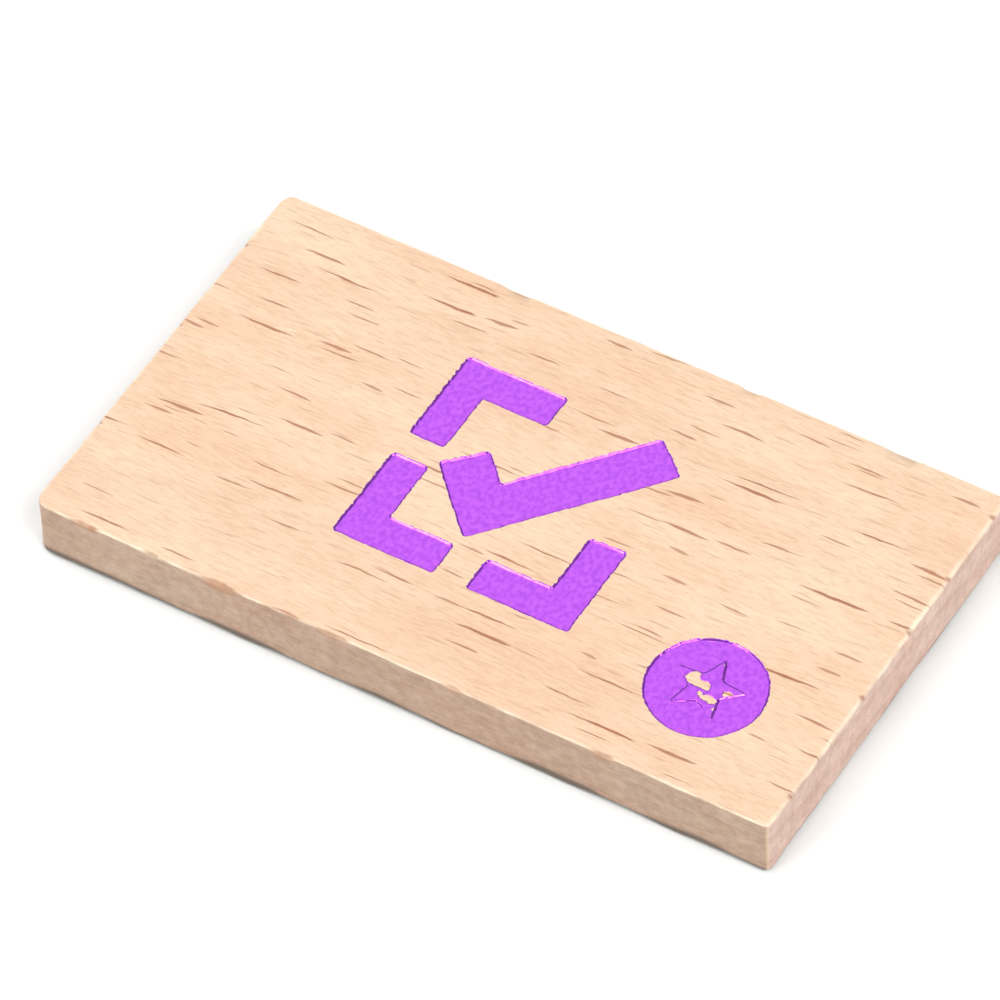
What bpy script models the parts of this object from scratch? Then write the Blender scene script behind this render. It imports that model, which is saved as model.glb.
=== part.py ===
"""A flat beech game token with a hot-stamped metal foil mark and a round foil badge.

One machined blank of wood carries five separate islands of transferred foil. Each island lies in its own
debossed pocket as a shallow tray: a thin floor on the pocket's floor and a rim lining the pocket's wall.
Metres, +Z up. The origin is at the centre of the underside, +X runs along the token to the right as the mark
reads, and +Y runs towards the top of the mark.
"""

import math

import bmesh
import bpy
from mathutils import Vector

# Blank
LENGTH = 0.035
WIDTH = 0.020
THICKNESS = 0.003
CORNER_RADIUS = 0.0006
CORNER_STEPS = 5
ARRIS_RADIUS = 0.0003
ARRIS_STEPS = 3

# Stamping
POCKET_DEPTH = 0.00018
FILM = 0.00006  # the solid's film thickness; a real transfer foil is a few micrometres
FILM_GAP = 0.00002  # between the film and the pocket's wood, all round and below
RIM_DROP = 0.00002  # from the top face down to the rim's edge
CUT_ABOVE = 0.0004  # how far the cutters stand out of the top face

# Main mark: three corner brackets and a tick that leaves through the open corner
MARK_CENTRE = Vector((-0.0003, 0.0003))
MARK_WIDTH = 0.0112
MARK_HEIGHT = 0.0109
BRACKET_ARM = 0.0048
BRACKET_STROKE = 0.0017
TICK_STROKE = 0.0022
TICK_START = Vector((-0.0029, 0.0006))
TICK_ELBOW = Vector((-0.00075, -0.00155))
TICK_END = Vector((0.0046, 0.00475))

# Badge: a disc with a plain star left standing in wood
BADGE_CENTRE = Vector((0.0117, -0.0049))
BADGE_RADIUS = 0.00257
BADGE_STEPS = 64
STAR_POINTS = 5
STAR_RADIUS = 0.00165
STAR_WAIST = 0.00075

BEECH = (0.80, 0.58, 0.39)
PURPLE_FOIL = (0.42, 0.07, 0.86)

TOP = THICKNESS
POCKET_FLOOR = THICKNESS - POCKET_DEPTH


def material(name, colour, roughness, metallic):
    made = bpy.data.materials.new(name)
    made.use_nodes = True
    shader = made.node_tree.nodes["Principled BSDF"]
    shader.inputs["Base Color"].default_value = (*colour, 1.0)
    shader.inputs["Roughness"].default_value = roughness
    shader.inputs["Metallic"].default_value = metallic
    return made


def add_object(name, bm, finish=None):
    """A new object in the scene from a finished bmesh."""
    bmesh.ops.recalc_face_normals(bm, faces=bm.faces)
    mesh = bpy.data.meshes.new(name)
    bm.to_mesh(mesh)
    bm.free()
    made = bpy.data.objects.new(name, mesh)
    bpy.context.scene.collection.objects.link(made)
    if finish:
        mesh.materials.append(finish)
    return made


def left_normal(start, end):
    """The unit vector to the left of the way from start to end."""
    along = (end - start).normalized()
    return Vector((-along.y, along.x))


def offset(outline, distance):
    """A counter-clockwise outline moved outwards by distance, or inwards if it is negative, with mitred corners."""
    moved = []
    for i, corner in enumerate(outline):
        before = -left_normal(outline[i - 1], corner)
        after = -left_normal(corner, outline[(i + 1) % len(outline)])
        moved.append(corner + (before + after) * distance / (1 + before.dot(after)))
    return moved


def stroke(path, width):
    """The counter-clockwise outline of a bent bar with square ends."""
    right_side = []
    left_side = []
    for i, point in enumerate(path):
        before = left_normal(path[max(i - 1, 0)], path[max(i, 1)])
        after = left_normal(path[min(i, len(path) - 2)], path[min(i + 1, len(path) - 1)])
        reach = (before + after) * (width / 2) / (1 + before.dot(after))
        right_side.append(point - reach)
        left_side.append(point + reach)
    return right_side + left_side[::-1]


def circle(centre, radius, steps):
    turns = [2 * math.pi * i / steps for i in range(steps)]
    return [centre + radius * Vector((math.cos(a), math.sin(a))) for a in turns]


def star(centre, points, radius, waist):
    """A counter-clockwise star with one point up."""
    outline = []
    for i in range(2 * points):
        angle = math.pi / 2 + math.pi * i / points
        reach = waist if i % 2 else radius
        outline.append(centre + reach * Vector((math.cos(angle), math.sin(angle))))
    return outline


def bracket(side_x, side_y):
    """An L along one corner of the mark. side_x and side_y are 1 or -1 and name the corner."""
    half = BRACKET_STROKE / 2
    corner = Vector((side_x * (MARK_WIDTH / 2 - half), side_y * (MARK_HEIGHT / 2 - half)))
    reach = BRACKET_ARM - half
    along_x = corner - Vector((side_x * reach, 0))
    along_y = corner - Vector((0, side_y * reach))
    path = [along_x, corner, along_y]
    return [MARK_CENTRE + p for p in stroke(path, BRACKET_STROKE)]


def prism(name, outlines, low, high, finish=None):
    """A closed prism between two heights. The first outline bounds it, and any others are holes through it."""
    bm = bmesh.new()
    for outline in outlines:
        ring = [bm.verts.new((p.x, p.y, low)) for p in outline]
        for i, corner in enumerate(ring):
            bm.edges.new((ring[i - 1], corner))
    bmesh.ops.triangle_fill(bm, use_beauty=True, edges=bm.edges)
    risen = bmesh.ops.extrude_face_region(bm, geom=bm.faces[:])["geom"]
    top_corners = [part for part in risen if isinstance(part, bmesh.types.BMVert)]
    bmesh.ops.translate(bm, vec=(0, 0, high - low), verts=top_corners)
    return add_object(name, bm, finish)


def cut(target, cutter):
    """Takes the cutter's volume out of the target."""
    cutter.hide_render = True
    cutter.display_type = "WIRE"
    boolean = target.modifiers.new("cut_" + cutter.name, "BOOLEAN")
    boolean.operation = "DIFFERENCE"
    boolean.solver = "EXACT"
    boolean.object = cutter


def blank(finish):
    """The wooden block with round plan corners and eased arrises."""
    bm = bmesh.new()
    bmesh.ops.create_cube(bm, size=1.0)
    bmesh.ops.scale(bm, vec=(LENGTH, WIDTH, THICKNESS), verts=bm.verts)
    bmesh.ops.translate(bm, vec=(0, 0, THICKNESS / 2), verts=bm.verts)
    upright = [e for e in bm.edges if abs(e.verts[0].co.z - e.verts[1].co.z) > THICKNESS / 2]
    bmesh.ops.bevel(
        bm, geom=upright, offset=CORNER_RADIUS, segments=CORNER_STEPS, profile=0.5, affect="EDGES"
    )
    made = add_object("wooden_blank", bm, finish)
    arris = made.modifiers.new("arris", "BEVEL")
    arris.width = ARRIS_RADIUS
    arris.segments = ARRIS_STEPS
    arris.limit_method = "ANGLE"
    arris.angle_limit = math.radians(60)
    return made


def stamp(name, wood, outline, finish, holes=()):
    """Presses one island of foil into the wood: a pocket in the wood and a tray of film in the pocket."""
    film_line = [offset(outline, -FILM_GAP), *[offset(hole, FILM_GAP) for hole in holes]]
    hollow_line = [
        offset(outline, -FILM_GAP - FILM),
        *[offset(hole, FILM_GAP + FILM) for hole in holes],
    ]
    pocket = prism("pocket_" + name, [outline, *holes], POCKET_FLOOR, TOP + CUT_ABOVE)
    cut(wood, pocket)
    film_floor = POCKET_FLOOR + FILM_GAP
    tray = prism(name, film_line, film_floor, TOP - RIM_DROP, finish)
    hollow = prism("hollow_" + name, hollow_line, film_floor + FILM, TOP + CUT_ABOVE)
    cut(tray, hollow)
    return tray


def main():
    for leftover in list(bpy.data.objects):
        bpy.data.objects.remove(leftover, do_unlink=True)

    beech = material("beech", BEECH, roughness=0.6, metallic=0.0)
    foil = material("purple_foil", PURPLE_FOIL, roughness=0.3, metallic=1.0)

    wood = blank(beech)
    stamp("foil_bracket_upper_left", wood, bracket(-1, 1), foil)
    stamp("foil_bracket_lower_left", wood, bracket(-1, -1), foil)
    stamp("foil_bracket_lower_right", wood, bracket(1, -1), foil)
    tick = [MARK_CENTRE + p for p in (TICK_START, TICK_ELBOW, TICK_END)]
    stamp("foil_tick", wood, stroke(tick, TICK_STROKE), foil)
    disc = circle(BADGE_CENTRE, BADGE_RADIUS, BADGE_STEPS)
    island = star(BADGE_CENTRE, STAR_POINTS, STAR_RADIUS, STAR_WAIST)
    stamp("foil_badge", wood, disc, foil, holes=[island])


main()
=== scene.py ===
"""The looks of the beech game token: worn edges, pressed and ragged foil, and beech with its ray flecks.

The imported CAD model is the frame. Every CAD node is replaced with a finer piece of the same size and place:
one closed skin of wood whose top face carries the debossed pockets, and one thin film for each island of
foil, which follows the wood under it. Lengths are in metres.
"""

import math
from collections import namedtuple

import bpy
import numpy as np
from mathutils import Matrix, Vector, geometry


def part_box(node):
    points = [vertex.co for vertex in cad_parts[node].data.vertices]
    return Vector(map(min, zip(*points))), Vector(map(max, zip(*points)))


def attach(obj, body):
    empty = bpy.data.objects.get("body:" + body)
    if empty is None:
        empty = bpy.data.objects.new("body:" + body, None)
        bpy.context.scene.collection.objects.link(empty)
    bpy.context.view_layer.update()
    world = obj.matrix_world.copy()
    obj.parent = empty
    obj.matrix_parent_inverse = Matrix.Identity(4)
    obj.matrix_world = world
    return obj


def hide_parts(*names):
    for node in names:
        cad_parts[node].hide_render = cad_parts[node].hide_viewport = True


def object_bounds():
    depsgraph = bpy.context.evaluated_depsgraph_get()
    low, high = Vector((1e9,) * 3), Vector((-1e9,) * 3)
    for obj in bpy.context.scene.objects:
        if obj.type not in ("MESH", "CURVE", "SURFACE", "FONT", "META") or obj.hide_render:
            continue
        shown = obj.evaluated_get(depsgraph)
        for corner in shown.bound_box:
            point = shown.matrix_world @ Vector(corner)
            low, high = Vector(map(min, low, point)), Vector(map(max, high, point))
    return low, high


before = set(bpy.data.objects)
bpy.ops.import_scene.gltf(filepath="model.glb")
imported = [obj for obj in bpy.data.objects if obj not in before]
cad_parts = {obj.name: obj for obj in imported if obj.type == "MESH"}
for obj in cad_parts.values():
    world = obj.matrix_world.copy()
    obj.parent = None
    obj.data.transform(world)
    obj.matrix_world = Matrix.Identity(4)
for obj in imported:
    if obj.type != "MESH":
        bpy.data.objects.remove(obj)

MM = 0.001
MM_PER_METRE = 1000.0
SEED = 7

CAD_LOW, CAD_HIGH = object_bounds()

WOOD = "wooden_blank"
BADGE_NODE = "foil_badge"
FOIL_NODES = [
    "foil_bracket_upper_left",
    "foil_bracket_lower_left",
    "foil_bracket_lower_right",
    "foil_tick",
    BADGE_NODE,
]

# The blank
_, WOOD_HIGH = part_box(WOOD)
HALF_LENGTH = WOOD_HIGH.x
HALF_WIDTH = WOOD_HIGH.y
CAD_TOP = WOOD_HIGH.z
TOP = CAD_TOP - 0.014 * MM  # leaves room for the film that laps over the top face
CORNERS = [  # round from the front left: side along X, side along Y, radius
    (-1, -1, 0.72 * MM),
    (1, -1, 0.32 * MM),
    (1, 1, 0.50 * MM),
    (-1, 1, 0.55 * MM),
]
RIM_STEP = 0.08 * MM  # between columns of vertices round the blank
EDGE_ROLL = 0.035 * MM  # how far the top falls towards its edges
EDGE_ROLL_WIDTH = 1.4 * MM
TOP_SWELL = 0.008 * MM  # half the depth of the sanded top's slow waves, which fade out at its edges
TOP_SWELL_FADE = 0.6 * MM

# The worn edges. The long edges are sharper than those at the ends.
LONG_EDGE_IN = 0.11 * MM
LONG_EDGE_DOWN = 0.13 * MM
END_EDGE_IN = 0.19 * MM
END_EDGE_DOWN = 0.22 * MM
UNDER_EDGE_IN = 0.36 * MM
UNDER_EDGE_UP = 0.26 * MM
FOOT_SHADE_HEIGHT = 0.30 * MM  # painted shade: how far up the sides the shade of the lower edge reaches
# The painted shade of the lower edge reaches higher at the front, and fades out over FOOT_SHADE_FADE.
FOOT_SHADE_MORE_IN_FRONT = 0.15 * MM
FOOT_SHADE_FADE = 0.22 * MM
ARRIS_STEPS = 7
WALL_STEPS = 16
UNDER_STEPS = 5

# Splinters missing from the long top edges: centre along X, length, depth into the top, depth down the
# side, and how dark the torn wood is.
FRONT_CHIPS = [
    (-15.1 * MM, 2.0 * MM, 0.02 * MM, 0.07 * MM, 1.00),
    (-11.8 * MM, 1.1 * MM, 0.03 * MM, 0.12 * MM, 0.10),
    (-8.7 * MM, 2.5 * MM, 0.11 * MM, 0.13 * MM, 1.00),
    (-3.2 * MM, 2.4 * MM, 0.03 * MM, 0.09 * MM, 0.50),
    (2.6 * MM, 1.4 * MM, 0.02 * MM, 0.06 * MM, 0.35),
    (9.6 * MM, 1.7 * MM, 0.05 * MM, 0.11 * MM, 0.60),
]
BACK_CHIPS = [
    (-6.1 * MM, 1.9 * MM, 0.010 * MM, 0.20 * MM, 0.70),
    (5.2 * MM, 1.3 * MM, 0.008 * MM, 0.14 * MM, 0.40),
    (12.4 * MM, 2.2 * MM, 0.010 * MM, 0.22 * MM, 0.80),
]
# Pits where a ray runs out on an end: side (1 right, -1 left), centre along Y, width, depth.
END_PITS = [
    (1, 8.8 * MM, 0.24 * MM, 0.12 * MM),
    (1, 5.0 * MM, 0.22 * MM, 0.10 * MM),
    (1, 1.7 * MM, 0.22 * MM, 0.10 * MM),
    (1, -2.2 * MM, 0.22 * MM, 0.10 * MM),
    (1, -8.1 * MM, 0.24 * MM, 0.06 * MM),
    (-1, 6.6 * MM, 0.20 * MM, 0.12 * MM),
    (-1, 1.4 * MM, 0.18 * MM, 0.10 * MM),
    (-1, -4.9 * MM, 0.22 * MM, 0.12 * MM),
]
PIT_DOWN = 0.6  # a pit's depth down the end, as a share of its depth into the top

# The stamping
FILM_INSET = 0.02 * MM  # from the pocket's wall to the CAD film
POCKET_DEPTH = 0.085 * MM
POCKET_CORNER = 0.14 * MM  # how far the pocket's corners are eased
WALL_OUT = 0.042 * MM  # how far the rounded lip reaches outside the pocket's line
STAR_WALL_OUT = 0.050 * MM  # the same at the badge's star
WALL_IN = 0.050 * MM  # how far the foot of the wall reaches inside it
STAR_CRUSH = 0.024 * MM  # how far the die crushed the star at most
STAR_MARGIN = 0.3 * MM  # inside the badge's edge, and still outside the star
BRIDGED = 0.18  # where the star is crushed more than this share, the film sticks to it
FILM_LAP = 0.046 * MM  # how far the film reaches outside the pocket's line
FILM_LOW = 0.002 * MM  # underside of the film above the wood
FILM_HIGH = 0.010 * MM  # upper side of the film above the wood
LEAST_PATCH = 60  # faces in the smallest flake of film that is kept

# How closely the vertices of the top and the underside stand. Rows follow the pockets' lines, at distances
# that are positive outside the pocket.
OUTLINE_ROWS_MM = [0.20, 0.13, 0.085, 0.055, 0.032, 0.012, -0.010, -0.034, -0.060, -0.095, -0.14]
OUTLINE_STEP = 0.042 * MM
FAR_ROW = 0.09 * MM  # rows further from the line than this are sparser
FAR_ROW_STEP = 1.6 * OUTLINE_STEP
ROW_SLACK = 0.006 * MM  # near corners, points further than this from their row's distance are dropped
TOP_PITCH = 0.24 * MM
TOP_MARGIN = 0.5 * MM  # from the blank's sides
TOP_CLEAR = 0.26 * MM  # from the pockets' lines, outside
POCKET_PITCH = 0.085 * MM
POCKET_CLEAR = 0.17 * MM  # from the pockets' lines, inside
STAR_PITCH = 0.055 * MM
STAR_CLEAR = 0.02 * MM  # from the star's outline, inside the star
UNDER_PITCH = 0.6 * MM
UNDER_MARGIN = 0.8 * MM  # from the blank's sides
SHAKE = 0.3  # how far a grid's points are shaken, as a share of its pitch


# ---------------------------------------------------------------------------------------------------- noise

NOISE_SHIFT = 1000.0  # keeps the object in the lattice's positive quarter


def lattice(i, j, seed):
    """A fixed number from -1 to 1 for each point of a lattice, from its scrambled place."""
    mixed = (i * 374761393 + j * 668265263 + seed * 362437) & 0xFFFFFFFF
    mixed = ((mixed ^ (mixed >> 13)) * 1274126177) & 0xFFFFFFFF
    return ((mixed ^ (mixed >> 16)) & 0xFFFF) / 32767.5 - 1


def noise(x, y, pitch_x, pitch_y, seed):
    """Smooth noise from -1 to 1 whose bumps are about pitch_x by pitch_y."""
    u = np.asarray(x, float) / pitch_x + NOISE_SHIFT
    v = np.asarray(y, float) / pitch_y + NOISE_SHIFT
    i = np.floor(u).astype(np.int64)
    j = np.floor(v).astype(np.int64)
    u = u - i
    v = v - j
    u = u * u * (3 - 2 * u)
    v = v * v * (3 - 2 * v)
    low = lattice(i, j, seed) * (1 - u) + lattice(i + 1, j, seed) * u
    high = lattice(i, j + 1, seed) * (1 - u) + lattice(i + 1, j + 1, seed) * u
    return low * (1 - v) + high * v


def line_noise(s, pitch, seed):
    """The same along a line."""
    return noise(s, np.zeros_like(s), pitch, pitch, seed)


def smooth(t):
    """0 below 0, 1 above 1, and a smooth step between."""
    t = np.clip(t, 0, 1)
    return t * t * (3 - 2 * t)


# ------------------------------------------------------------------------------------- outlines from the CAD

KEY_DECIMALS = 7  # corners in the same place get the same key
SAME_HEIGHT = 0.001 * MM


def cad_loops(node):
    """The loops round the underside of a CAD film, in the plane, with the foil on the left of each."""
    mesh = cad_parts[node].data
    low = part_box(node)[0].z
    key = [tuple(round(c, KEY_DECIMALS) for c in v.co) for v in mesh.vertices]
    used = {}
    for face in mesh.polygons:
        ring = [key[i] for i in face.vertices]
        if all(abs(p[2] - low) < SAME_HEIGHT for p in ring):
            for start, end in zip(ring, ring[1:] + ring[:1]):
                used[(start, end)] = True
    following = {start: end for start, end in used if (end, start) not in used}
    loops = []
    while following:
        start, end = following.popitem()
        loop = [start]
        while end != start:
            loop.append(end)
            end = following.pop(end)
        # The underside's faces look down, so its loops have the foil on the right until they are turned.
        loops.append(np.array([p[:2] for p in reversed(loop)]))
    return sorted(loops, key=lambda loop: -np.ptp(loop[:, 0]))


def eased(loop, radius, steps=4):
    """A loop whose sharp corners are replaced with short curves."""
    points = []
    for i, corner in enumerate(loop):
        before = loop[i - 1] - corner
        after = loop[(i + 1) % len(loop)] - corner
        long_before = np.linalg.norm(before)
        long_after = np.linalg.norm(after)
        bend = before @ after / (long_before * long_after)
        nearly_straight = bend < -0.9
        if nearly_straight:
            points.append(corner)
            continue
        start = corner + before / long_before * min(radius, long_before / 2)
        end = corner + after / long_after * min(radius, long_after / 2)
        for t in np.linspace(0, 1, steps + 1):
            points.append(start * (1 - t) ** 2 + corner * 2 * t * (1 - t) + end * t * t)
    return np.array(points)


def signed_distance(points, loops):
    """Distance to the nearest loop: negative inside the foil, positive outside it and in its holes."""
    nearest = np.full(len(points), 1e9)
    crossings = np.zeros(len(points), int)
    x, y = points[:, 0], points[:, 1]
    for loop in loops:
        for a, b in zip(loop, np.roll(loop, -1, axis=0)):
            along = b - a
            t = np.clip(((points - a) @ along) / (along @ along), 0, 1)
            gap = points - a - t[:, None] * along
            nearest = np.minimum(nearest, np.hypot(gap[:, 0], gap[:, 1]))
            if a[1] != b[1]:
                spans = (a[1] > y) != (b[1] > y)
                crossings += spans & (x < a[0] + (y - a[1]) * along[0] / along[1])
    return np.where(crossings % 2 == 1, -nearest, nearest)


def resampled(loop, step):
    """Evenly spaced points round a loop, and the unit normal at each."""
    closed = np.vstack([loop, loop[:1]])
    lengths = np.hypot(*np.diff(closed, axis=0).T)
    reached = np.concatenate([[0], np.cumsum(lengths)])
    count = max(int(reached[-1] / step), 8)
    s = np.arange(count) * reached[-1] / count
    points = np.column_stack([np.interp(s, reached, closed[:, k]) for k in (0, 1)])
    along = np.roll(points, -1, axis=0) - np.roll(points, 1, axis=0)
    along /= np.linalg.norm(along, axis=1)[:, None]
    return points, np.column_stack([along[:, 1], -along[:, 0]])


FOIL_LOOPS = {node: [eased(loop, POCKET_CORNER) for loop in cad_loops(node)] for node in FOIL_NODES}


def pocket_distances(points):
    """For each island of foil, the signed distance from its pocket's line."""
    return np.array([signed_distance(points, FOIL_LOOPS[n]) - FILM_INSET for n in FOIL_NODES])


def torn(x, y):
    """How far a cut edge wanders: fibres run along X, so an edge that crosses them breaks into teeth."""
    teeth = noise(x, y, 1.1 * MM, 0.15 * MM, SEED + 1)
    fine = noise(x, y, 0.5 * MM, 0.07 * MM, SEED + 9)
    waves = noise(x, y, 0.8 * MM, 0.5 * MM, SEED + 2)
    return 0.022 * MM * teeth + 0.008 * MM * fine + 0.010 * MM * waves


# ------------------------------------------------------------------------------------------ the wood's top


def edge_gap(x, y):
    """Distance from the blank's nearest side."""
    return np.minimum(HALF_LENGTH - np.abs(x), HALF_WIDTH - np.abs(y))


def in_star(x, y):
    """Whether a point is well inside the badge's disc, where the wooden star stands."""
    low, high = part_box(BADGE_NODE)
    centre = (low + high) / 2
    return np.hypot(x - centre.x, y - centre.y) < (high.x - low.x) / 2 - STAR_MARGIN


def badge_crush(x, y):
    """How far the badge's small wooden star was crushed by the die, from 0 to 1."""
    lumps = noise(x, y, 0.55 * MM, 0.30 * MM, SEED + 11)
    lumps += 0.5 * noise(x, y, 0.2 * MM, 0.16 * MM, SEED + 12)
    return smooth(0.70 + 1.9 * lumps)


def top_height(x, y, distances):
    """Height of the wood's upper surface."""
    edge = edge_gap(x, y)
    rolled = EDGE_ROLL * (1 - smooth(edge / EDGE_ROLL_WIDTH))
    swell = TOP_SWELL * (1 + noise(x, y, 6 * MM, 2.2 * MM, SEED + 3))
    height = TOP - rolled - swell * smooth(edge / TOP_SWELL_FADE)
    d = distances.min(axis=0) + torn(x, y)
    star = in_star(x, y)
    lip = np.where(star, STAR_WALL_OUT, WALL_OUT)
    pressed = smooth((lip - d) / (lip + WALL_IN))
    floor_relief = (
        0.0032 * MM * noise(x, y, 0.24 * MM, 0.28 * MM, SEED + 4)
        + 0.0012 * MM * noise(x, y, 0.8 * MM, 0.16 * MM, SEED + 5)
    )
    height -= pressed * (POCKET_DEPTH + floor_relief)
    height -= star * (1 - pressed) * STAR_CRUSH * badge_crush(x, y)
    return height


def on_top(points):
    """Points in the plane, lifted to the wood's upper surface."""
    heights = top_height(points[:, 0], points[:, 1], pocket_distances(points))
    return np.column_stack([points, heights])


def grid(low, high, pitch, rng):
    """Slightly shaken points over a rectangle."""
    gx, gy = np.meshgrid(np.arange(low[0], high[0], pitch), np.arange(low[1], high[1], pitch))
    points = np.column_stack([gx.ravel(), gy.ravel()])
    return points + rng.uniform(-SHAKE, SHAKE, points.shape) * pitch


def node_grid(node, pitch, rng):
    """Shaken points over a CAD node's box."""
    low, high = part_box(node)
    return grid(np.array(low[:2]), np.array(high[:2]), pitch, rng)


def outline_points(node):
    """Rows of points along both sides of a pocket's lines, where its walls need them."""
    rows = []
    for loop in FOIL_LOOPS[node]:
        for offset in np.array(OUTLINE_ROWS_MM) * MM:
            step = OUTLINE_STEP if abs(offset) < FAR_ROW else FAR_ROW_STEP
            points, normal = resampled(loop, step)
            moved = points + normal * (offset + FILM_INSET)
            true = signed_distance(moved, FOIL_LOOPS[node]) - FILM_INSET
            rows.append(moved[np.abs(true - offset) < ROW_SLACK])
    return rows


def top_points(low, high, rng):
    """Points of the top face inside its rim: sparse on plain wood, and close in and round the pockets."""
    coarse = grid(low, high, TOP_PITCH, rng)
    plain = pocket_distances(coarse).min(axis=0) > TOP_CLEAR
    gathered = [coarse[(edge_gap(*coarse.T) > TOP_MARGIN) & plain]]
    for node in FOIL_NODES:
        gathered += outline_points(node)
        fine = node_grid(node, POCKET_PITCH, rng)
        gathered.append(fine[pocket_distances(fine).min(axis=0) < -POCKET_CLEAR])
    fine = node_grid(BADGE_NODE, STAR_PITCH, rng)
    raised = pocket_distances(fine).min(axis=0) > STAR_CLEAR
    gathered.append(fine[in_star(*fine.T) & raised])
    return np.vstack(gathered)


def filled(ring, inside):
    """An outline filled with triangles over scattered points. Also gives each outline point's vertex."""
    count = len(ring)
    plane = [Vector(p / MM) for p in np.vstack([ring, inside])]
    outline = [list(range(count))]
    points, _, faces, sources, _, _ = geometry.delaunay_2d_cdt(plane, [], outline, 1, 1e-6, True)
    points = np.array([tuple(p) for p in points]) * MM
    at_rim = np.full(count, -1)
    for index, found in enumerate(sources):
        for source in found:
            if source < count:
                at_rim[source] = index
    on_rim = np.zeros(len(points), bool)
    on_rim[at_rim] = True
    faces = np.array([tuple(f) for f in faces])
    # The fill also spans the outline's hollows, and those faces are dropped.
    doubtful = on_rim[faces].all(axis=1)
    outside = signed_distance(points[faces[doubtful]].mean(axis=1), [ring]) > 0
    kept = np.ones(len(faces), bool)
    kept[np.flatnonzero(doubtful)[outside]] = False
    return points, faces[kept], at_rim


# ---------------------------------------------------------------------------------------- the wood's sides

ON_SIDE = 0.7  # a point of the plan belongs to a side where this much of its normal points that way
SQUARELY_ON_SIDE = 0.9


def rim_line():
    """Points round the blank's plan, the outward normal at each, and the length walked."""
    points = []
    normals = []
    for turn, (side_x, side_y, radius) in enumerate(CORNERS):
        centre = np.array([side_x * (HALF_LENGTH - radius), side_y * (HALF_WIDTH - radius)])
        steps = max(int(radius * math.pi / 2 / RIM_STEP) + 1, 6)
        for i in range(steps + 1):
            angle = math.pi + (turn + i / steps) * math.pi / 2
            outward = np.array([math.cos(angle), math.sin(angle)])
            points.append(centre + radius * outward)
            normals.append(outward)
        ahead_x, ahead_y, ahead = CORNERS[(turn + 1) % len(CORNERS)]
        start = points[-1]
        side = normals[-1]
        target = np.array([ahead_x * (HALF_LENGTH - ahead), ahead_y * (HALF_WIDTH - ahead)]) + ahead * side
        steps = int(np.linalg.norm(target - start) / RIM_STEP)
        for i in range(1, steps):
            points.append(start + (target - start) * i / steps)
            normals.append(side)
    points = np.array(points)
    lengths = np.hypot(*(np.roll(points, -1, axis=0) - points).T)
    return points, np.array(normals), np.concatenate([[0], np.cumsum(lengths)[:-1]])


def chip_shape(along, centre, length):
    """0 to 1: a splinter deepens slowly towards +X and breaks off short."""
    t = (along - centre) / length + 0.5
    frayed = 1 + 0.15 * line_noise(along, 0.16 * MM, SEED + 13)
    return smooth(t / 0.60) * smooth((1 - t) / 0.20) * frayed * ((t > 0) & (t < 1))


# How worn the blank is round its plan: how far the top and bottom arrises reach inwards, down and up, where
# splinters are missing, how dark their wood is, where pits are, and how high the painted shade of the lower
# edge reaches.
Wear = namedtuple("Wear", "top_in top_down under_in under_up chipped stained pitted soiled_to")


def wear_round(plan, outward, walked):
    """The wear at each point of the plan. walked is the way along the plan's line to each."""
    x, y = plan.T
    on_long = np.abs(outward[:, 1]) > ON_SIDE
    front = (outward[:, 1] < -SQUARELY_ON_SIDE) * 1.0
    back = (outward[:, 1] > SQUARELY_ON_SIDE) * 1.0
    waves = (
        1
        + 0.28 * line_noise(walked, 1.7 * MM, SEED + 20)
        + 0.22 * line_noise(walked, 0.45 * MM, SEED + 21)
    )
    top_in = np.where(on_long, LONG_EDGE_IN, END_EDGE_IN) * waves
    top_down = np.where(on_long, LONG_EDGE_DOWN, END_EDGE_DOWN) * (2 - waves)
    chipped = np.zeros(len(plan))
    stained = np.zeros(len(plan))
    for side, chips in ((front, FRONT_CHIPS), (back, BACK_CHIPS)):
        for centre, length, depth_in, depth_down, dark in chips:
            shape = side * chip_shape(x, centre, length)
            top_in = top_in + shape * depth_in
            top_down = top_down + shape * depth_down
            chipped = np.maximum(chipped, shape)
            stained = np.maximum(stained, shape * dark)
    pitted = np.zeros(len(plan))
    for side, centre, width, depth in END_PITS:
        on_end = outward[:, 0] * side > SQUARELY_ON_SIDE
        shape = on_end * np.exp(-(((y - centre) / (width / 2)) ** 2))
        top_in = top_in + shape * depth
        top_down = top_down + shape * depth * PIT_DOWN
        pitted = np.maximum(pitted, shape)
    under_waves = (
        1
        + 0.40 * line_noise(walked, 2.6 * MM, SEED + 22)
        + 0.20 * line_noise(walked, 0.8 * MM, SEED + 23)
    )
    under_in = UNDER_EDGE_IN * under_waves
    under_up = UNDER_EDGE_UP * (0.35 + 0.65 * under_waves)
    # Painted shade along the lower edge, reaching higher at the front.
    soiled_to = FOOT_SHADE_HEIGHT + FOOT_SHADE_MORE_IN_FRONT * front
    soiled_to = soiled_to * (1 + 0.30 * line_noise(walked, 1.9 * MM, SEED + 26))
    return Wear(top_in, top_down, under_in, under_up, chipped, stained, pitted, soiled_to)


class Rows:
    """Rows of vertices round the blank from its top rim to its underside, with facts for the material."""

    def __init__(self, plan, outward, wear):
        self.plan = plan
        self.outward = outward
        self.wear = wear
        self.vertices = []
        self.facts = []

    def add(self, inset, height, arris=0.0, chip=0.0, pit=0.0):
        inner = self.plan - self.outward * inset[:, None]
        self.vertices.append(np.column_stack([inner, height]))
        # Painted shade: darker towards the lower edge, where the token meets the floor.
        shaded_foot = smooth((self.wear.soiled_to - height) / FOOT_SHADE_FADE)
        facts = [np.broadcast_to(fact, height.shape) for fact in (arris, chip, pit)]
        self.facts.append(np.column_stack([*facts, shaded_foot]))


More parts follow.
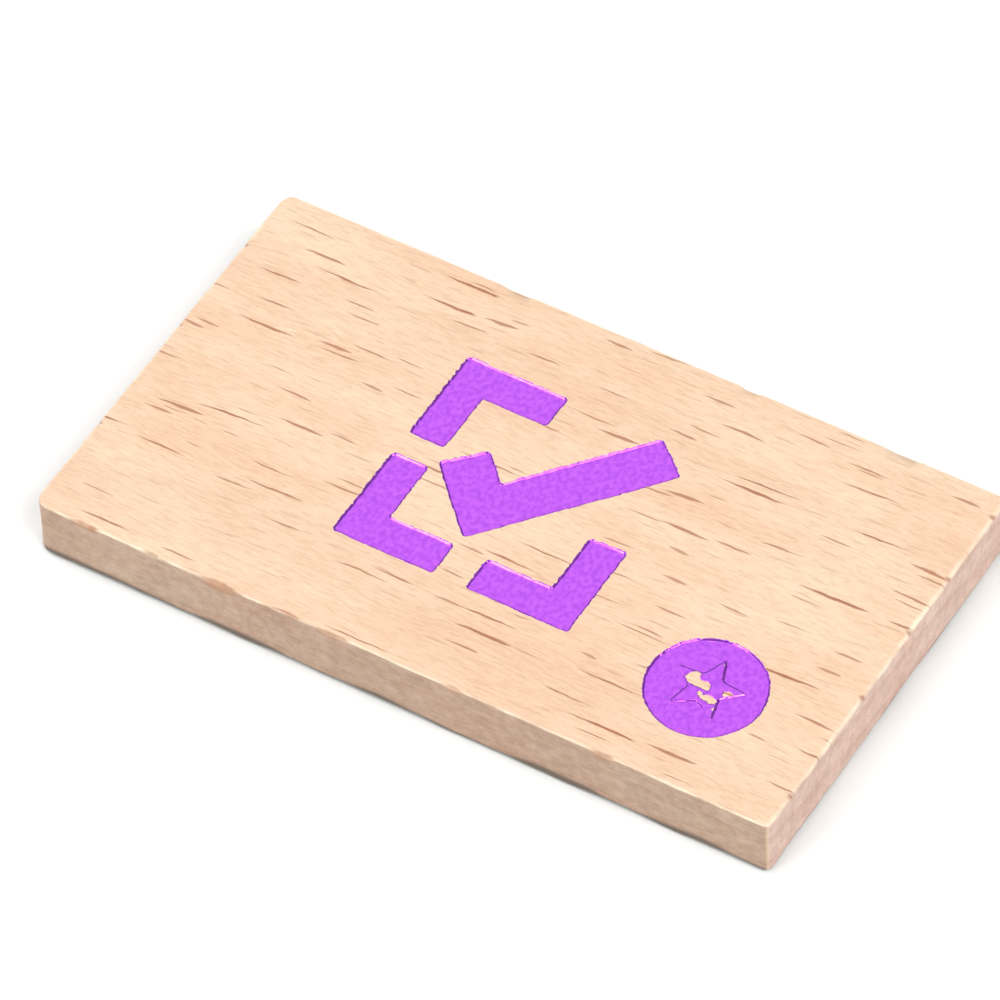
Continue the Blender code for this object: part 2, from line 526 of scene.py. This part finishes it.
def side_rows(plan, outward, walked, wear, rim_height):
    """The rows of the top arris, the wall and the bottom arris. rim_height is the top's height there."""
    rows = Rows(plan, outward, wear)
    for i in range(ARRIS_STEPS + 1):
        t = i / ARRIS_STEPS * math.pi / 2
        # A missing splinter leaves a flat facet, and the rest is rounded.
        flat = i / ARRIS_STEPS
        inset = wear.top_in * ((1 - math.sin(t)) * (1 - wear.chipped) + (1 - flat) * wear.chipped)
        drop = (1 - math.cos(t)) * (1 - wear.chipped) + flat * wear.chipped
        height = rim_height - (wear.top_down - (TOP - rim_height)) * drop
        # Halfway round the arris the wood is lightened most: partly burnish, partly a painted highlight. The
        # pits use the same share.
        worn_and_highlit = math.sin(2 * t)
        stain = wear.stained * min(i / 2, 1)  # starts just below the rim
        rows.add(inset, height, arris=worn_and_highlit * (1 - wear.chipped), chip=stain, pit=wear.pitted * worn_and_highlit)
    wall_top = rows.vertices[-1][:, 2]
    for i in range(1, WALL_STEPS + 1):
        t = 1 - (1 - i / WALL_STEPS) ** 1.5  # the rows stand closer towards the foot
        height = wall_top + (wear.under_up - wall_top) * t
        # The saw left slow hollows and finer ones.
        bow = (
            0.010 * MM * (1 + noise(walked, height, 5 * MM, 1.2 * MM, SEED + 24))
            + 0.004 * MM * (1 + noise(walked, height, 0.9 * MM, 0.18 * MM, SEED + 25))
        )
        rows.add(bow * np.sin(math.pi * min(t, 0.999)), height)
    for i in range(1, UNDER_STEPS + 1):
        t = i / UNDER_STEPS * math.pi / 2
        rows.add(wear.under_in * (1 - math.cos(t)), wear.under_up * (1 - math.sin(t)))
    return rows


# ------------------------------------------------------------------------------------------- the wood's skin


def wood_piece():
    """The whole skin of the blank as one closed mesh, and its top's points and triangles for the films."""
    plan, outward, walked = rim_line()
    count = len(plan)
    wear = wear_round(plan, outward, walked)
    inner = plan - outward * wear.top_in[:, None]
    rows = side_rows(plan, outward, walked, wear, on_top(inner)[:, 2])

    # The top face.
    rng = np.random.default_rng(SEED)
    low = inner.min(axis=0)
    high = inner.max(axis=0)
    flat, faces, at_rim = filled(inner, top_points(low, high, rng))
    top = on_top(flat)
    top_facts = np.zeros((len(top), 4))
    top_facts[at_rim] = rows.facts[0]
    triangles = [tuple(int(i) for i in f) for f in faces]

    # The sides. The top's rim is the first row, and each later row has its own vertices.
    ids = [at_rim]
    for k in range(len(rows.vertices) - 1):
        ids.append(len(top) + k * count + np.arange(count))
    bands = []
    for above, below in zip(ids, ids[1:]):
        for i in range(count):
            j = (i + 1) % count
            bands.append((above[i], below[i], below[j], above[j]))

    # The underside, from the last row inwards.
    under = grid(low, high, UNDER_PITCH, rng)
    under = under[edge_gap(*under.T) > UNDER_MARGIN]
    flat, faces, at_rim = filled(rows.vertices[-1][:, :2], under)
    target = np.full(len(flat), -1)
    target[at_rim] = ids[-1]
    loose = target < 0
    target[loose] = ids[-1][-1] + 1 + np.arange(loose.sum())
    underside = [tuple(int(target[i]) for i in reversed(f)) for f in faces]
    under_points = np.column_stack([flat[loose], np.zeros(loose.sum())])

    vertices = np.vstack([top, *rows.vertices[1:], under_points])
    facts = np.vstack([top_facts, *rows.facts[1:], np.zeros((len(under_points), 4))])
    made = add_mesh("token_wood", vertices, triangles + bands + underside)
    # Facts for the material: arris burnish with a painted highlight, chip, pit, and the painted shade of the
    # lower edge.
    store(made, ("arris", "chip", "pit", "painted_foot_shade"), facts)
    return made, top, triangles


def add_mesh(name, vertices, polygons):
    mesh = bpy.data.meshes.new(name)
    mesh.from_pydata([tuple(v) for v in vertices], [], [tuple(int(i) for i in p) for p in polygons])
    mesh.validate()
    mesh.shade_smooth()
    made = bpy.data.objects.new(name, mesh)
    bpy.context.scene.collection.objects.link(made)
    return made


def store(piece, names, values):
    """Keeps numbers on the piece's vertices for its material."""
    for column, name in enumerate(names):
        attribute = piece.data.attributes.new(name, "FLOAT", "POINT")
        attribute.data.foreach_set("value", values[:, column].astype(np.float32))


# ------------------------------------------------------------------------------------------------ the films


def vertex_normals(points, faces):
    corners = points[faces]
    area = np.cross(corners[:, 1] - corners[:, 0], corners[:, 2] - corners[:, 0])
    total = np.zeros_like(points)
    for k in range(3):
        np.add.at(total, faces[:, k], area)
    return total / np.maximum(np.linalg.norm(total, axis=1)[:, None], 1e-20)


def without_flakes(faces, least):
    """The faces of every patch, joined by shared edges, that has at least that many faces."""
    by_edge = {}
    for index, face in enumerate(faces):
        for k in range(3):
            edge = tuple(sorted((face[k], face[(k + 1) % 3])))
            by_edge.setdefault(edge, []).append(index)
    beside = [[] for _ in faces]
    for sharing in by_edge.values():
        if len(sharing) == 2:
            beside[sharing[0]].append(sharing[1])
            beside[sharing[1]].append(sharing[0])
    seen = np.zeros(len(faces), bool)
    kept = []
    for start in range(len(faces)):
        if seen[start]:
            continue
        seen[start] = True
        patch = [start]
        for at in patch:  # the patch grows while it is walked
            for other in beside[at]:
                if not seen[other]:
                    seen[other] = True
                    patch.append(other)
        if len(patch) >= least:
            kept += patch
    return faces[np.array(sorted(kept), int)]


def film_pieces(top, triangles):
    """One thin closed film for each island, cut raggedly from the surface that it was pressed on to."""
    faces = np.array(triangles)
    normals = vertex_normals(top, faces)
    x, y = top[:, 0], top[:, 1]
    distances = pocket_distances(top[:, :2])
    ragged = (
        0.022 * MM * noise(x, y, 0.30 * MM, 0.07 * MM, SEED + 6)
        + 0.016 * MM * noise(x, y, 0.11 * MM, 0.11 * MM, SEED + 7)
    )
    pieces = {}
    for index, node in enumerate(FOIL_NODES):
        d = distances[index] + torn(x, y)
        star = in_star(x, y) if node == BADGE_NODE else np.zeros(len(x), bool)
        held = d < np.where(star, STAR_WALL_OUT, FILM_LAP) + ragged
        held |= star & (badge_crush(x, y) > BRIDGED)
        chosen = without_flakes(faces[held[faces].all(axis=1)], LEAST_PATCH)
        pieces[node] = film_mesh(node.replace("foil_", "film_"), top, normals, chosen)
    return pieces


def film_mesh(name, top, normals, faces):
    """A closed sheet over some of the top's faces: an upper side, an underside and a thin rim."""
    used, inverse = np.unique(faces, return_inverse=True)
    faces = inverse.reshape(faces.shape)
    over = top[used] + normals[used] * FILM_HIGH
    under = top[used] + normals[used] * FILM_LOW
    count = len(used)
    polygons = [tuple(f) for f in faces]
    polygons += [tuple(int(i) + count for i in reversed(f)) for f in faces]
    edges = set()
    for f in faces:
        edges |= {(f[0], f[1]), (f[1], f[2]), (f[2], f[0])}
    for a, b in edges:
        if (b, a) not in edges:
            polygons.append((b, a, a + count, b + count))
    return add_mesh(name, np.vstack([over, under]), polygons)


# --------------------------------------------------------------------------------------------- shader graphs


class Graph:
    """Short names for the shader nodes that the materials use."""

    def __init__(self, name):
        self.material = bpy.data.materials.new(name)
        self.material.use_nodes = True
        self.tree = self.material.node_tree
        self.shader = self.tree.nodes["Principled BSDF"]

    def set(self, socket, value):
        if isinstance(value, bpy.types.NodeSocket):
            self.tree.links.new(value, socket)
        elif value is not None:
            socket.default_value = value

    def add(self, kind, **settings):
        node = self.tree.nodes.new(kind)
        for name, value in settings.items():
            setattr(node, name, value)
        return node

    def math(self, operation, a, b=None, c=None, clamp=False):
        node = self.add("ShaderNodeMath", operation=operation, use_clamp=clamp)
        for socket, value in zip(node.inputs, (a, b, c)):
            self.set(socket, value)
        return node.outputs[0]

    def vector(self, operation, a, b=None):
        node = self.add("ShaderNodeVectorMath", operation=operation)
        self.set(node.inputs[0], a)
        self.set(node.inputs[1], b)
        return node.outputs[0]

    def split(self, vector):
        node = self.add("ShaderNodeSeparateXYZ")
        self.set(node.inputs[0], vector)
        return node.outputs

    def join(self, x, y, z):
        node = self.add("ShaderNodeCombineXYZ")
        for socket, value in zip(node.inputs, (x, y, z)):
            self.set(socket, value)
        return node.outputs[0]

    def here(self):
        """The place on the piece, in metres."""
        return self.add("ShaderNodeTexCoord").outputs["Object"]

    def here_in_mm(self):
        return self.vector("MULTIPLY", self.here(), (MM_PER_METRE, MM_PER_METRE, MM_PER_METRE))

    def noise(self, vector, scale=1.0, detail=2.0, roughness=0.5):
        node = self.add("ShaderNodeTexNoise")
        self.set(node.inputs["Vector"], vector)
        node.inputs["Scale"].default_value = scale
        node.inputs["Detail"].default_value = detail
        node.inputs["Roughness"].default_value = roughness
        return node.outputs[0]

    def streaks(self, p, per_mm, detail=2.0, roughness=0.5):
        """Noise with its own number of bumps per millimetre along each axis."""
        return self.noise(self.vector("MULTIPLY", p, per_mm), detail=detail, roughness=roughness)

    def ramp(self, value, low, high):
        """0 at low, 1 at high, smooth between."""
        node = self.add("ShaderNodeMapRange", interpolation_type="SMOOTHSTEP")
        self.set(node.inputs["Value"], value)
        self.set(node.inputs["From Min"], low)
        self.set(node.inputs["From Max"], high)
        return node.outputs["Result"]

    def mix(self, share, a, b, blend="MIX"):
        node = self.add("ShaderNodeMix", data_type="RGBA", blend_type=blend)
        self.set(node.inputs["Factor"], share)
        self.set(node.inputs[6], a if isinstance(a, bpy.types.NodeSocket) else (*a, 1))
        self.set(node.inputs[7], b if isinstance(b, bpy.types.NodeSocket) else (*b, 1))
        return node.outputs[2]

    def attribute(self, name):
        return self.add("ShaderNodeAttribute", attribute_name=name).outputs["Fac"]

    def bump(self, height, distance):
        node = self.add("ShaderNodeBump")
        self.set(node.inputs["Height"], height)
        node.inputs["Distance"].default_value = distance
        node.inputs["Strength"].default_value = 1.0
        return node.outputs[0]


# ---------------------------------------------------------------------------------------------------- beech

RING_TILT = math.radians(7)  # how steeply the growth rings fall towards the back on the token's ends
RING_MM = 1.5  # from one ring to the next
SQUARELY_FROM = 0.60  # a face starts to count as an end or a side at this share of its normal
SQUARELY_AT = 0.95  # and wholly counts as one at this share
BEECH_PALE = (0.815, 0.610, 0.435)
BEECH_ROSY = (0.790, 0.535, 0.372)
BEECH_LATE = (0.66, 0.40, 0.27)
BEECH_LIGHT = (0.92, 0.74, 0.54)
# Cream for the arrises: partly burnish, partly a painted highlight of light caught on their rounding.
BEECH_BURNISH_AND_HIGHLIGHT = (0.97, 0.86, 0.68)
BEECH_PORE = (0.52, 0.32, 0.21)
BEECH_FOOT_SHADE = (0.135, 0.105, 0.082)  # painted shade for the lower edge, where the token meets the floor
BEECH_RAY = (0.365, 0.130, 0.068)
CHIP_COLOUR = (0.43, 0.205, 0.115)
# These multiply the colour under them.
FIBRE_TINT = (0.915, 0.870, 0.825)
SAWN_LIGHT = (1.10, 1.09, 1.10)
SAWN_DARK = (0.90, 0.875, 0.850)
SAWN_BAND = (0.94, 0.93, 0.93)
SIDE_TINT = (0.645, 0.640, 0.675)
END_TINT = (0.885, 0.900, 1.075)
BEECH_RELIEF = 0.010 * MM


def grain_place(g):
    """The place in the tree, in millimetres: X along the grain, Y along the rings and Z across them."""
    turned = g.add("ShaderNodeMapping", vector_type="POINT")
    g.set(turned.inputs["Vector"], g.here_in_mm())
    turned.inputs["Rotation"].default_value = (RING_TILT, 0.0, 0.0)
    p = turned.outputs["Vector"]
    drift = g.streaks(p, (0.12, 0.35, 0.1), detail=1.0)
    x, y, z = g.split(p)
    y = g.math("MULTIPLY_ADD", g.math("SUBTRACT", drift, 0.5), 0.6, y)
    return g.join(x, y, z)


def facings(g):
    """How squarely a face looks up or down, at the ends and at the sides, each from 0 to 1."""
    x, y, z = g.split(g.add("ShaderNodeNewGeometry").outputs["Normal"])
    up = g.math("ABSOLUTE", z)
    end = g.ramp(g.math("ABSOLUTE", x), SQUARELY_FROM, SQUARELY_AT)
    side = g.ramp(g.math("ABSOLUTE", y), SQUARELY_FROM, SQUARELY_AT)
    return up, end, side


def ringed(g, p, end):
    """Pale and rosy patches, and a slow darkening towards each ring's late wood, strongest on the ends."""
    warp = g.streaks(p, (0.05, 0.16, 0.3))
    across = g.split(p)[2]
    phase = g.math("FRACT", g.math("MULTIPLY_ADD", warp, 0.9, g.math("DIVIDE", across, RING_MM)))
    late = g.math("MULTIPLY", g.ramp(phase, 0.45, 0.95), g.ramp(phase, 1.0, 0.96))
    patches = g.streaks(p, (0.11, 0.40, 0.40), detail=3.0, roughness=0.55)
    colour = g.mix(g.ramp(patches, 0.32, 0.70), BEECH_PALE, BEECH_ROSY)
    late_share = g.math("MULTIPLY_ADD", end, 0.30, 0.14)
    return g.mix(g.math("MULTIPLY", late, late_share), colour, BEECH_LATE)


def fibrous(g, p, colour, fibres, pore):
    """Darker fibres, lighter streaks and pores."""
    colour = g.mix(g.ramp(fibres, 0.42, 0.64), colour, FIBRE_TINT, "MULTIPLY")
    lights = g.streaks(p, (1.1, 9.0, 9.0), detail=3.0, roughness=0.6)
    colour = g.mix(g.math("MULTIPLY", g.ramp(lights, 0.58, 0.78), 0.50), colour, BEECH_LIGHT)
    return g.mix(g.math("MULTIPLY", pore, 0.30), colour, BEECH_PORE)


def spindles(g, p, cell, half_length, half_width, share, seed):
    """Scattered spindles along X, from 0 to 1. p and the lengths are in millimetres.

    Each cell of a stretched pattern has a spindle or none, and share is how many have one. They don't change
    along Z.
    """
    cell_x, cell_y = cell
    x, y, _ = g.split(p)
    scaled = g.join(g.math("DIVIDE", x, cell_x), g.math("DIVIDE", y, cell_y), 0.0)
    shifted = g.vector("ADD", scaled, (seed * 3.17, seed * 5.71, 0.0))
    cells = g.add("ShaderNodeTexVoronoi", voronoi_dimensions="2D", feature="F1")
    borders = g.add("ShaderNodeTexVoronoi", voronoi_dimensions="2D", feature="DISTANCE_TO_EDGE")
    for node in (cells, borders):
        g.set(node.inputs["Vector"], shifted)
        node.inputs["Scale"].default_value = 1.0
        node.inputs["Randomness"].default_value = 0.9
    away = g.split(g.vector("SUBTRACT", shifted, cells.outputs["Position"]))
    red, green, blue = g.split(cells.outputs["Color"])  # three random numbers for each cell
    dx = g.math("MULTIPLY", away[0], cell_x)
    dy = g.math("MULTIPLY", away[1], cell_y)
    slope = g.math("MULTIPLY_ADD", red, 0.05, -0.01)
    dy = g.math("SUBTRACT", dy, g.math("MULTIPLY", dx, slope))
    wander = g.streaks(p, (1.4, 4.0, 0.0))
    dy = g.math("MULTIPLY_ADD", g.math("SUBTRACT", wander, 0.5), half_width * 1.6, dy)
    long = g.math("MULTIPLY_ADD", red, half_length * 0.7, half_length * 0.4)
    reach = g.math("DIVIDE", dx, long)
    taper = g.math("SUBTRACT", 1.0, g.math("MULTIPLY", reach, reach), clamp=True)
    # One half of each spindle is fuller than the other.
    fuller = g.math("MULTIPLY_ADD", reach, g.math("SUBTRACT", green, 0.5), 1.0)
    taper = g.math("MULTIPLY", taper, fuller)
    wide = g.math("MULTIPLY", taper, g.math("MULTIPLY_ADD", green, half_width * 0.6, half_width * 0.6))
    inside = g.math("SUBTRACT", wide, g.math("ABSOLUTE", dy))
    mask = g.ramp(inside, 0.0, half_width * 0.52)
    mask = g.math("MULTIPLY", mask, g.ramp(borders.outputs["Distance"], 0.0, 0.06))
    kept = g.math("LESS_THAN", blue, share)
    strength = g.math("MULTIPLY_ADD", red, 0.28, 0.80)
    return g.math("MULTIPLY", g.math("MULTIPLY", mask, kept), strength)


def rays(g, p):
    """The rays cut across: bold spindles of two sizes, and small faint ones between."""
    large = spindles(g, p, (5.4, 1.50), 1.95, 0.088, 0.75, 1.0)
    middling = spindles(g, p, (4.0, 1.35), 1.20, 0.068, 0.58, 2.0)
    faint = spindles(g, p, (2.6, 0.75), 0.85, 0.050, 0.85, 3.0)
    bold = g.math("MAXIMUM", large, g.math("MULTIPLY", middling, 0.85))
    return g.math("MAXIMUM", bold, g.math("MULTIPLY", faint, 0.30))


def sawn(g, p, colour, blotches, side, end, upright):
    """The sawn sides and ends: mottled, and tinted apart from the top."""
    mottled = g.mix(g.ramp(blotches, 0.30, 0.70), SAWN_LIGHT, SAWN_DARK)
    bands = g.streaks(p, (0.45, 0.35, 0.25))
    mottled = g.mix(g.ramp(bands, 0.30, 0.70), mottled, SAWN_BAND, "MULTIPLY")
    colour = g.mix(upright, colour, mottled, "MULTIPLY")
    colour = g.mix(side, colour, SIDE_TINT, "MULTIPLY")
    return g.mix(end, colour, END_TINT, "MULTIPLY")


def wear_highlight_and_shade(g, p, colour):
    """Burnished arrises with a painted highlight, painted shade along the lower edge, and torn wood in the
    chips and pits.
    """
    # Painted highlight along the arrises, mixed with burnish and broken up by noise.
    burnish_and_highlight_share = g.ramp(g.streaks(p, (0.9, 0.9, 0.9)), 0.35, 0.65)
    burnish_and_highlight_share = g.math("MULTIPLY_ADD", burnish_and_highlight_share, 0.50, 0.12)
    colour = g.mix(g.math("MULTIPLY", g.attribute("arris"), burnish_and_highlight_share), colour, BEECH_BURNISH_AND_HIGHLIGHT)
    # Painted shade on the lower edge, where the token meets the floor.
    colour = g.mix(g.math("MULTIPLY", g.attribute("painted_foot_shade"), 0.92), colour, BEECH_FOOT_SHADE)
    torn_out = g.streaks(p, (1.5, 6.0, 6.0))
    chip_share = g.math("MULTIPLY", g.attribute("chip"), g.math("MULTIPLY_ADD", torn_out, 0.9, 0.25))
    colour = g.mix(chip_share, colour, CHIP_COLOUR)
    return g.mix(g.math("MULTIPLY", g.attribute("pit"), 0.85), colour, BEECH_RAY)


def beech():
    g = Graph("beech")
    p = grain_place(g)
    up, end, side = facings(g)
    upright = g.math("ADD", end, side, clamp=True)
    fibres = g.streaks(p, (1.2, 8.5, 8.5), detail=4.0, roughness=0.65)
    pore = g.ramp(g.streaks(p, (2.2, 11.0, 11.0), detail=1.0), 0.60, 0.80)
    ray = rays(g, p)
    blotches = g.noise(p, scale=1.9, detail=4.0, roughness=0.65)

    colour = fibrous(g, p, ringed(g, p, end), fibres, pore)
    ray_strength = g.math("MULTIPLY_ADD", up, 0.78, 0.10)
    colour = g.mix(g.math("MULTIPLY", ray, ray_strength), colour, BEECH_RAY)
    colour = sawn(g, p, colour, blotches, side, end, upright)
    colour = wear_highlight_and_shade(g, p, colour)
    g.set(g.shader.inputs["Base Color"], colour)
    g.set(g.shader.inputs["Roughness"], g.math("MULTIPLY_ADD", fibres, 0.25, 0.50))
    g.shader.inputs["Specular IOR Level"].default_value = 0.35

    # Fibres stand up, rays and pores are sunk, and the sawn sides are rougher.
    relief = g.math("SUBTRACT", g.math("MULTIPLY", fibres, 0.6), g.math("MULTIPLY", ray, 0.5))
    relief = g.math("SUBTRACT", relief, g.math("MULTIPLY", pore, 0.5))
    relief = g.math("MULTIPLY_ADD", g.math("MULTIPLY", upright, blotches), 1.2, relief)
    g.set(g.shader.inputs["Normal"], g.bump(relief, BEECH_RELIEF))
    return g.material


# -------------------------------------------------------------------------------------------- foil and paper

FOIL_PURPLE = (0.562, 0.108, 0.885)
FOIL_DEEP = (0.435, 0.068, 0.765)
FOIL_RELIEF = 0.007 * MM
PAPER_LIGHT = (0.925, 0.935, 0.930)
PAPER_LIGHTER = (0.945, 0.955, 0.950)


def foil():
    g = Graph("purple_foil")
    p = g.here_in_mm()
    mottle = g.streaks(p, (4.6, 3.6, 3.8), detail=1.0)
    grain = g.streaks(p, (2.0, 9.0, 9.0), roughness=0.6)
    g.set(g.shader.inputs["Base Color"], g.mix(g.ramp(mottle, 0.30, 0.70), FOIL_DEEP, FOIL_PURPLE))
    g.shader.inputs["Metallic"].default_value = 1.0
    g.set(g.shader.inputs["Roughness"], g.math("MULTIPLY_ADD", grain, 0.12, 0.15))
    g.shader.inputs["Coat Weight"].default_value = 0.5
    g.shader.inputs["Coat Roughness"].default_value = 0.12
    height = g.math("MULTIPLY_ADD", mottle, 0.8, g.math("MULTIPLY", grain, 0.12))
    g.set(g.shader.inputs["Normal"], g.bump(height, FOIL_RELIEF))
    return g.material


def paper():
    g = Graph("white_sheet")
    tooth = g.noise(g.here(), scale=900.0)
    g.set(g.shader.inputs["Base Color"], g.mix(tooth, PAPER_LIGHTER, PAPER_LIGHT))
    g.shader.inputs["Roughness"].default_value = 0.85
    g.shader.inputs["Specular IOR Level"].default_value = 0.2
    return g.material


# ----------------------------------------------------------------------------------------------- the studio

CAMERA_AIM = Vector((-0.69, -0.42, 3.0)) * MM
CAMERA_AZIMUTH = math.radians(32.54)
CAMERA_ELEVATION = math.radians(49.09)
CAMERA_ROLL = math.radians(-2.29)
CAMERA_DISTANCE = 0.3637
CAMERA_LENS_MM = 317.6
SENSOR_MM = 36.0
SOFTBOX_DISTANCE = 0.9
FLOOR_HALF = 3.0
FLOOR_GAP = 0.02 * MM  # under the token
SKY = (0.97, 1.0, 1.0)
SKY_STRENGTH = 0.38


def towards(azimuth, elevation):
    """The unit vector from the object to a place round it. Azimuth 0 is -Y and 90 degrees is +X."""
    return Vector(
        (
            math.sin(azimuth) * math.cos(elevation),
            -math.cos(azimuth) * math.cos(elevation),
            math.sin(elevation),
        )
    )


def looking(location, target, roll=0.0):
    """A matrix that stands at location and looks at target along -Z."""
    turn = (target - location).to_track_quat("-Z", "Y").to_matrix().to_4x4()
    return Matrix.Translation(location) @ turn @ Matrix.Rotation(roll, 4, "Z")


def add_camera():
    data = bpy.data.cameras.new("camera")
    data.lens = CAMERA_LENS_MM
    data.sensor_width = SENSOR_MM
    data.clip_start = 0.01
    data.clip_end = 20.0
    camera = bpy.data.objects.new("camera", data)
    bpy.context.scene.collection.objects.link(camera)
    location = CAMERA_AIM + towards(CAMERA_AZIMUTH, CAMERA_ELEVATION) * CAMERA_DISTANCE
    camera.matrix_world = looking(location, CAMERA_AIM, CAMERA_ROLL)
    bpy.context.scene.camera = camera


def add_softbox(name, azimuth, elevation, width, height, watts):
    data = bpy.data.lights.new(name, "AREA")
    data.shape = "RECTANGLE"
    data.size = width
    data.size_y = height
    data.energy = watts
    lamp = bpy.data.objects.new(name, data)
    bpy.context.scene.collection.objects.link(lamp)
    centre = Vector((0, 0, CAD_TOP))
    location = centre + towards(math.radians(azimuth), math.radians(elevation)) * SOFTBOX_DISTANCE
    lamp.matrix_world = looking(location, centre)


def add_lights():
    add_softbox("overhead", azimuth=-75, elevation=72, width=0.5, height=0.5, watts=2.35)
    add_softbox("front_left", azimuth=-26, elevation=28, width=0.28, height=0.26, watts=1.9)
    add_softbox("left", azimuth=-88, elevation=34, width=0.5, height=0.5, watts=0.9)
    add_softbox("right", azimuth=74, elevation=49, width=0.68, height=0.52, watts=5.4)
    add_softbox("back_left", azimuth=-147, elevation=49, width=0.58, height=0.58, watts=0.85)


def add_floor():
    half = FLOOR_HALF
    corners = [(-half, -half, 0), (half, -half, 0), (half, half, 0), (-half, half, 0)]
    floor = add_mesh("floor", corners, [(0, 1, 2, 3)])
    floor.location.z = CAD_LOW.z - FLOOR_GAP
    floor.data.materials.append(paper())


def add_world():
    world = bpy.data.worlds.new("studio")
    bpy.context.scene.world = world
    world.use_nodes = True
    background = world.node_tree.nodes["Background"]
    background.inputs["Color"].default_value = (*SKY, 1)
    background.inputs["Strength"].default_value = SKY_STRENGTH


def add_studio():
    add_camera()
    bpy.context.scene.view_settings.view_transform = "Standard"
    add_world()
    add_floor()
    add_lights()


# ---------------------------------------------------------------------------------------------- the assembly


def main():
    add_studio()

    wood, top, triangles = wood_piece()
    wood.data.materials.append(beech())
    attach(wood, "root")
    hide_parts(WOOD)
    finish = foil()
    for node, piece in film_pieces(top, triangles).items():
        piece.data.materials.append(finish)
        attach(piece, "root")
        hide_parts(node)


main()
